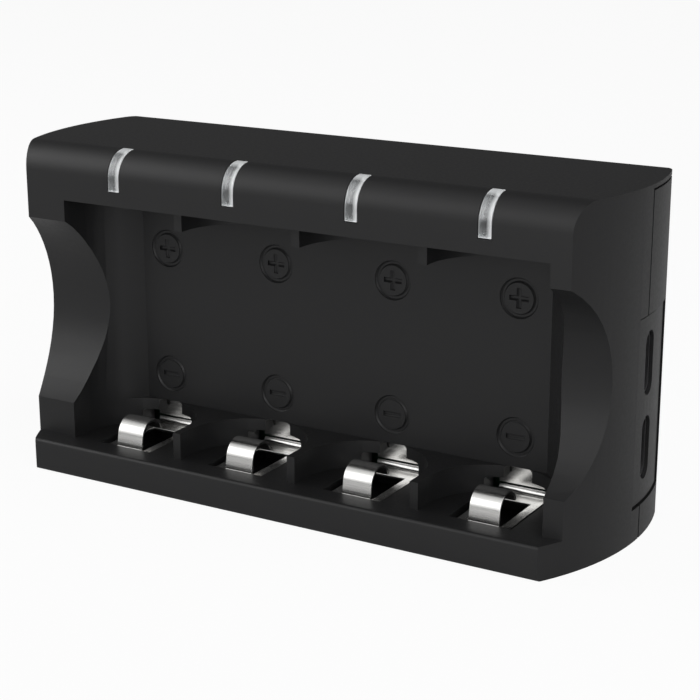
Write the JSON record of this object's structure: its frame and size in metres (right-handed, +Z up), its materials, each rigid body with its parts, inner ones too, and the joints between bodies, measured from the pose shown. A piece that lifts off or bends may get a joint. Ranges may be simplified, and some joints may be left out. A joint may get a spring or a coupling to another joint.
{
  "type": "four-bay lithium battery charger",
  "caption": "Upright charger for short lithium cells: open-fronted bays under a hood, finger scoops in both ends, sprung leaf contacts, light pipes and two sockets at one end.",
  "frame": {"origin": "middle of the bottom of the body's box, on the surface that it stands on", "axes": "+Z up, the bays open towards -Y, +X towards the end with the sockets"},
  "size_m": [0.0962, 0.0332, 0.05],
  "materials": {
    "black_plastic": "fine matte moulded black",
    "clear_acrylic": "clear polished light pipe",
    "nickel_strip": "bright nickel plate",
    "green_board": "green solder mask",
    "led_white": "white package with clear lens",
    "chip_epoxy": "moulded epoxy",
    "ferrite": "pressed ferrite",
    "capacitor_can": "drawn can",
    "socket_steel": "drawn steel shell",
    "socket_plastic": "black insulator",
    "screw_steel": "dark plated"
  },
  "bodies": {
    "housing": {"front_housing": "black_plastic", "rear_cover": "black_plastic", "port_panel": "black_plastic", "light_pipe_1": "clear_acrylic", "light_pipe_2": "clear_acrylic", "light_pipe_3": "clear_acrylic", "light_pipe_4": "clear_acrylic", "negative_terminal_1": "nickel_strip", "negative_terminal_2": "nickel_strip", "negative_terminal_3": "nickel_strip", "negative_terminal_4": "nickel_strip", "positive_contact_1": "nickel_strip", "positive_contact_2": "nickel_strip", "positive_contact_3": "nickel_strip", "positive_contact_4": "nickel_strip", "main_board": "green_board", "status_led_1": "led_white", "status_led_2": "led_white", "status_led_3": "led_white", "status_led_4": "led_white", "charge_chip_1": "chip_epoxy", "charge_chip_2": "chip_epoxy", "charge_chip_3": "chip_epoxy", "charge_chip_4": "chip_epoxy", "power_inductor_1": "ferrite", "power_inductor_2": "ferrite", "power_inductor_3": "ferrite", "power_inductor_4": "ferrite", "input_capacitor_1": "capacitor_can", "input_capacitor_2": "capacitor_can", "usb_socket_shell_1": "socket_steel", "usb_socket_shell_2": "socket_steel", "usb_socket_tongue_1": "socket_plastic", "usb_socket_tongue_2": "socket_plastic", "cover_screw_1": "screw_steel", "cover_screw_2": "screw_steel", "cover_screw_3": "screw_steel", "cover_screw_4": "screw_steel"},
    "contact_leaf_1": {"negative_leaf_1": "nickel_strip"},
    "contact_leaf_2": {"negative_leaf_2": "nickel_strip"},
    "contact_leaf_3": {"negative_leaf_3": "nickel_strip"},
    "contact_leaf_4": {"negative_leaf_4": "nickel_strip"}
  },
  "joints": [
    {"name": "leaf_flex_1", "type": "hinge", "parent": "housing", "child": "contact_leaf_1", "pos_m": [-0.028, 0.00175, 0.00525], "axis": [1, 0, 0], "range_deg": [0, 7], "stiffness_Nm_per_rad": 0.1},
    {"name": "leaf_flex_2", "type": "hinge", "parent": "housing", "child": "contact_leaf_2", "pos_m": [-0.008, 0.00175, 0.00525], "axis": [1, 0, 0], "range_deg": [0, 7], "stiffness_Nm_per_rad": 0.1},
    {"name": "leaf_flex_3", "type": "hinge", "parent": "housing", "child": "contact_leaf_3", "pos_m": [0.012, 0.00175, 0.00525], "axis": [1, 0, 0], "range_deg": [0, 7], "stiffness_Nm_per_rad": 0.1},
    {"name": "leaf_flex_4", "type": "hinge", "parent": "housing", "child": "contact_leaf_4", "pos_m": [0.032, 0.00175, 0.00525], "axis": [1, 0, 0], "range_deg": [0, 7], "stiffness_Nm_per_rad": 0.1}
  ]
}
